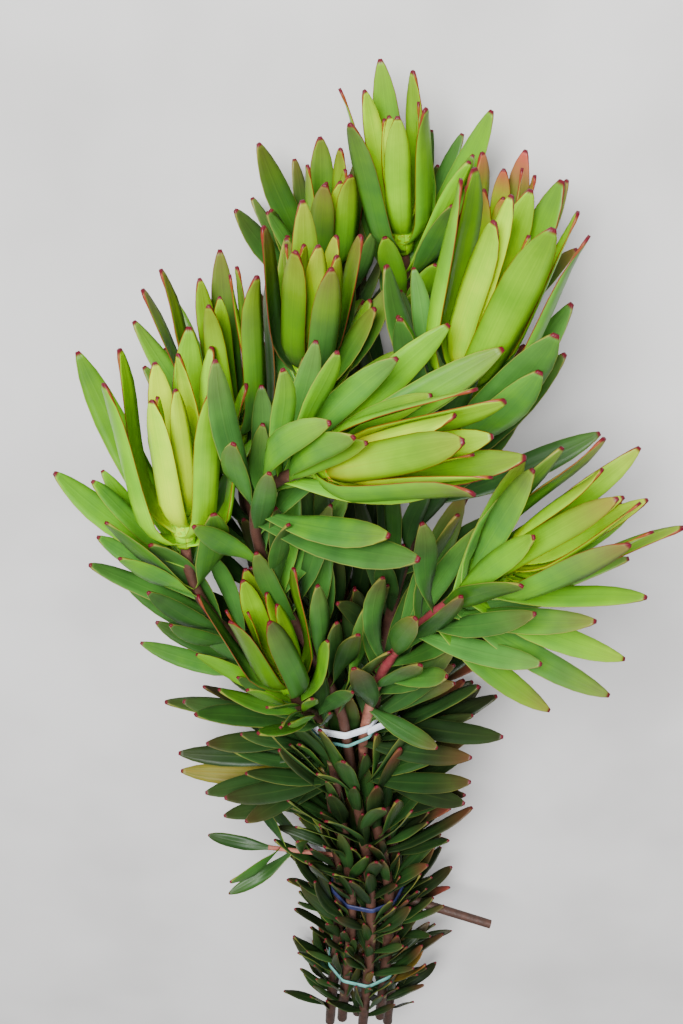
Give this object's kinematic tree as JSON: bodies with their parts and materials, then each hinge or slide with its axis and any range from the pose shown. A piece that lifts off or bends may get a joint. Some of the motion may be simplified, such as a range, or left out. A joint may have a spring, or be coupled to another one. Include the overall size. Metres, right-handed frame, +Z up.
{
  "type": "leucadendron stem bunch",
  "caption": "Tied bunch of cut leucadendron stems lying on a surface: leafy woody stems, each topped by a tulip-shaped head of pale green bracts.",
  "frame": {"origin": "on the surface that the bunch lies on, under the middle of its box", "axes": "+Y from the cut ends to the heads, +Z up, +X to the right as seen from above with the heads at the top"},
  "size_m": [0.2271, 0.5969, 0.1744],
  "materials": {
    "leaf": "satin",
    "bract": "satin",
    "tie": "satin",
    "tie_end": "matte",
    "green_band": "matte",
    "blue_band": "matte"
  },
  "bodies": {
    "root": {"leafy_stem_left": "leaf", "leafy_stem_left_back": "leaf", "leafy_stem_centre_back": "leaf", "leafy_stem_top": "leaf", "leafy_stem_right": "leaf", "leafy_stem_right_back": "leaf", "leafy_stem_centre": "leaf", "leafy_stem_far_right": "leaf", "leafy_stem_front_left": "leaf", "leafy_stem_back": "leaf", "head_left": "bract", "head_left_back": "bract", "head_centre_back": "bract", "head_top": "bract", "head_right": "bract", "head_right_back": "bract", "head_centre": "bract", "head_far_right": "bract", "head_front_left": "bract", "head_back": "bract", "upper_tie": "tie", "tie_tail": "tie", "tie_end": "tie_end", "upper_band": "green_band", "lower_band": "blue_band", "foot_band": "green_band"}
  },
  "joints": []
}
